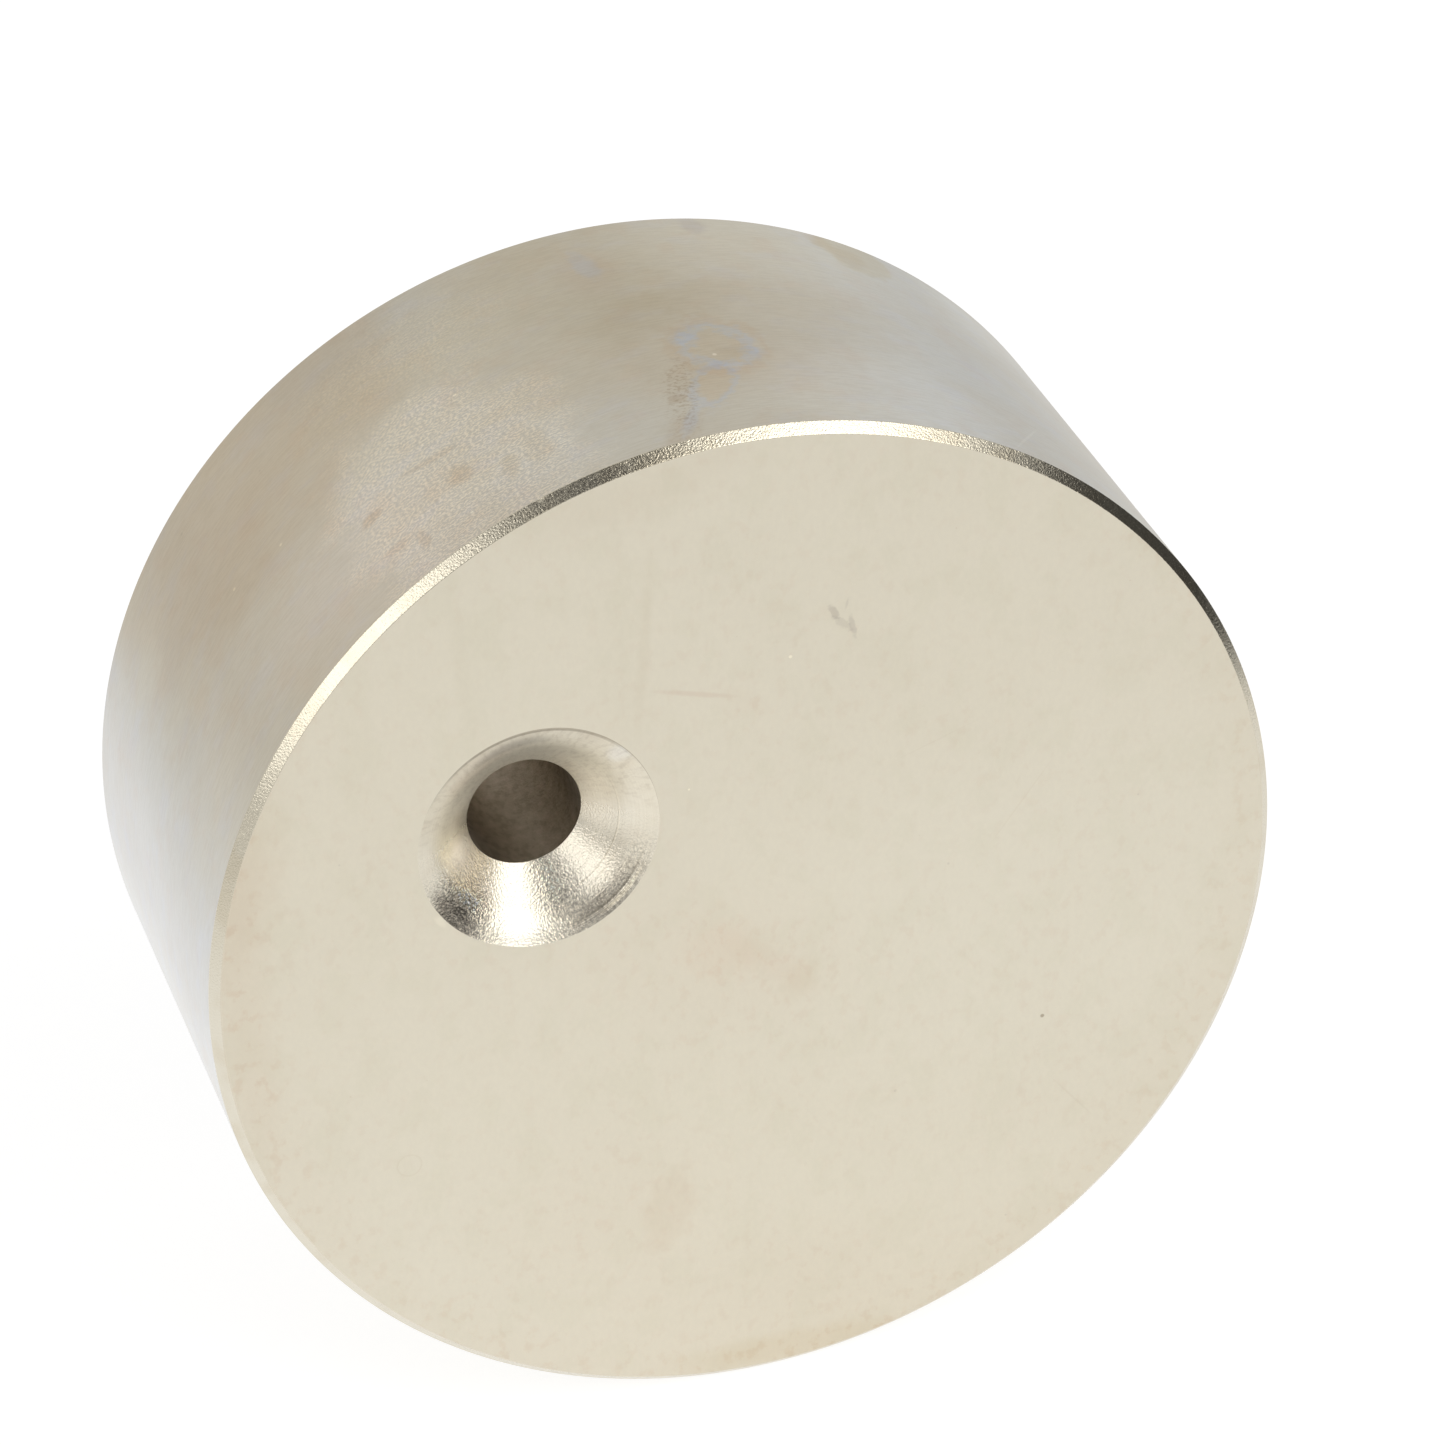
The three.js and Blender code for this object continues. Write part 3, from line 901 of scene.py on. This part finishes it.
# Cards that only the metal reflects: centre and sizes in metres, the side they face, brightness
cards = {
    "topFlag": {"at": (-0.074, -0.346, 0.545), "azimuth": -12, "elevation": 57, "width": 0.28,
                "height": 0.26, "level": 0.07},
    "rightFlag": {"at": (0.20, -0.075, 0.042), "azimuth": 90, "elevation": 0, "width": 0.35,
                  "height": 0.155, "level": 0.06},
}

studio = {
    "floorSize": 6.0,
    "floorDiffuse": 0.36,      # keeps the magnet's shadow
    "floorBounce": 0.80,
    "floorSeen": 0.78,         # added for the camera
    "floorNear": 0.77,         # added for the metal: under the magnet,
    "floorFall": 0.75,         # less for each metre away,
    "floorFar": 0.45,          # and at least this much
    "windowAt": (-0.11, 0.04), # cool window light on the table, for the metal alone
    "windowReach": 0.15,
    "windowLight": (0.16, 0.20, 0.30),
    "worldSeen": 1.0,
    "worldAmbient": 0.55,
    "worldFront": (0.50,) * 3,
    "worldBack": (0.71, 0.70, 0.685),
    "worldBackRight": (0.80, 0.82, 0.86),
    "worldLeft": 0.10,         # how much lighter the room is on the left than in the middle
    "worldTurns": (-0.5, 0.5), # from front to back, along Y
    "backTurns": (0.15, 0.55), # from the back to its right side, along X
}


def towards(azimuth, elevation):
    a, e = math.radians(azimuth), math.radians(elevation)
    return Vector((math.sin(a) * math.cos(e), -math.cos(a) * math.cos(e), math.sin(e)))


def setPose(thing, at, turn):
    thing.location, thing.rotation_mode, thing.rotation_quaternion = at, "QUATERNION", turn


def addCamera(setup):
    data = bpy.data.cameras.new("camera")
    data.lens, data.sensor_width = setup["lens"], setup["sensor"]
    data.clip_start, data.clip_end = setup["clip"]
    camera = addObject("camera", data)
    back = towards(setup["azimuth"], setup["elevation"])
    roll = Quaternion((0, 0, 1), math.radians(setup["roll"]))
    setPose(camera, Vector(setup["aim"]) + back * setup["distance"], (-back).to_track_quat("-Z", "Y") @ roll)
    bpy.context.scene.camera = camera


def addSoftbox(name, box):
    data = bpy.data.lights.new(name, "AREA")
    data.shape = "RECTANGLE"
    data.size, data.size_y = box["width"], box["height"]
    data.energy = box["level"] * math.pi * box["width"] * box["height"]
    data.color = box["tint"]
    lamp = addObject(name, data)
    outwards = towards(box["azimuth"], box["elevation"])
    setPose(lamp, outwards * box["distance"], outwards.to_track_quat("Z", "Y"))
    lamp.visible_camera = False


def makeBoard(name, materialName, centre, turn, width, height):
    # a flat quad with an empty material, whose glow isn't counted as a lamp: gives it and the tree
    corners = [Vector(centre) + turn @ Vector((sx * width / 2, sy * height / 2, 0))
               for sx, sy in ((-1, -1), (1, -1), (1, 1), (-1, 1))]
    mesh = bpy.data.meshes.new(name)
    mesh.from_pydata(corners, [], [(0, 1, 2, 3)])
    material = bpy.data.materials.new(materialName)
    material.use_nodes = True
    material.cycles.emission_sampling = "NONE"
    material.node_tree.nodes.remove(material.node_tree.nodes["Principled BSDF"])
    mesh.materials.append(material)
    return addObject(name, mesh), material.node_tree


def addCard(name, card):
    turn = towards(card["azimuth"], card["elevation"]).to_track_quat("Z", "Y")
    board, tree = makeBoard(name, name + "Cloth", card["at"], turn, card["width"], card["height"])
    glow = put(tree, "ShaderNodeEmission", {"Color": (card["level"],) * 3 + (1,), "Strength": 1.0})
    tree.links.new(glow.outputs[0], tree.nodes["Material Output"].inputs["Surface"])
    board.visible_camera = board.visible_diffuse = board.visible_shadow = False
    board.visible_transmission = board.visible_volume_scatter = False


def seenRays(tree):
    # camera rays, and mirrored or transmitted rays, as two masks
    rays = put(tree, "ShaderNodeLightPath").outputs
    mirrored = calc(tree, "MAXIMUM", rays["Is Glossy Ray"], rays["Is Transmission Ray"])
    return rays["Is Camera Ray"], mirrored


def addFloor(low):
    # the table: its own glow is floorSeen for the camera, and for the metal it falls off with the
    # distance from the magnet: max(floorFar, floorNear - floorFall * distance) + window light
    size = studio["floorSize"]
    floor, tree = makeBoard("floor", "whiteTable", (0, 0, low.z), Quaternion(), size, size)
    camera, mirrored = seenRays(tree)
    where = put(tree, "ShaderNodeTexCoord").outputs["Object"]
    flat = vectorCalc(tree, "MULTIPLY", where, (1, 1, 0))
    away = vectorCalc(tree, "LENGTH", flat, output="Value")
    near = calc(tree, "MULTIPLY_ADD", away, -studio["floorFall"], studio["floorNear"])
    near = calc(tree, "MAXIMUM", near, studio["floorFar"])
    fromWindow = vectorCalc(tree, "DISTANCE", flat, (*studio["windowAt"], 0), output="Value")
    window = smooth(tree, fromWindow, 0.0, studio["windowReach"], 1.0, 0.0)
    light = vectorCalc(tree, "SCALE", studio["windowLight"], window)
    light = vectorCalc(tree, "ADD", light, near)
    light = vectorCalc(tree, "SCALE", light, mirrored)
    plain = calc(tree, "MULTIPLY", camera, studio["floorSeen"])
    light = vectorCalc(tree, "ADD", light, plain)
    bounce = put(tree, "ShaderNodeBsdfDiffuse", {"Color": (studio["floorBounce"],) * 3 + (1,)})
    paint = put(tree, "ShaderNodeBsdfDiffuse", {"Color": (studio["floorDiffuse"],) * 3 + (1,)})
    glow = put(tree, "ShaderNodeEmission", {"Color": light, "Strength": 1.0})
    both = put(tree, "ShaderNodeAddShader", {0: paint.outputs[0], 1: glow.outputs[0]})
    seen = calc(tree, "MAXIMUM", camera, mirrored)
    mix = put(tree, "ShaderNodeMixShader", {0: seen, 1: bounce.outputs[0], 2: both.outputs[0]})
    tree.links.new(mix.outputs[0], tree.nodes["Material Output"].inputs["Surface"])


def mixed(tree, share, a, b):
    # a where the share is 0, b where it is 1
    colours = {6: a if isinstance(a, bpy.types.NodeSocket) else (*a, 1),
               7: b if isinstance(b, bpy.types.NodeSocket) else (*b, 1)}
    return put(tree, "ShaderNodeMix", {0: share, **colours}, data_type="RGBA").outputs[2]


def lightWorld():
    # camera rays see white, the table an even grey, and the metal a room lighter behind and to the left
    world = bpy.data.worlds.new("studioRoom")
    bpy.context.scene.world = world
    world.use_nodes = True
    tree = world.node_tree
    camera, mirrored = seenRays(tree)
    direction = put(tree, "ShaderNodeTexCoord").outputs["Generated"]
    parts = put(tree, "ShaderNodeSeparateXYZ", {0: direction}).outputs
    toRight = smooth(tree, parts["X"], *studio["backTurns"])
    toBack = smooth(tree, parts["Y"], *studio["worldTurns"])
    back = mixed(tree, toRight, studio["worldBack"], studio["worldBackRight"])
    room = mixed(tree, toBack, studio["worldFront"], back)
    left = calc(tree, "MULTIPLY_ADD", parts["X"], -studio["worldLeft"], 1.0)
    room = vectorCalc(tree, "SCALE", room, left)
    seen = mixed(tree, mirrored, (studio["worldAmbient"],) * 3, room)
    seen = mixed(tree, camera, seen, (studio["worldSeen"],) * 3)
    tree.links.new(seen, tree.nodes["Background"].inputs["Color"])


addCamera(cameraSetup)
for name, box in softboxes.items():
    addSoftbox(name, box)
for name, card in cards.items():
    addCard(name, card)
addFloor(cadLow)
lightWorld()
bpy.context.scene.view_settings.view_transform = "Standard"
print("studio lit")
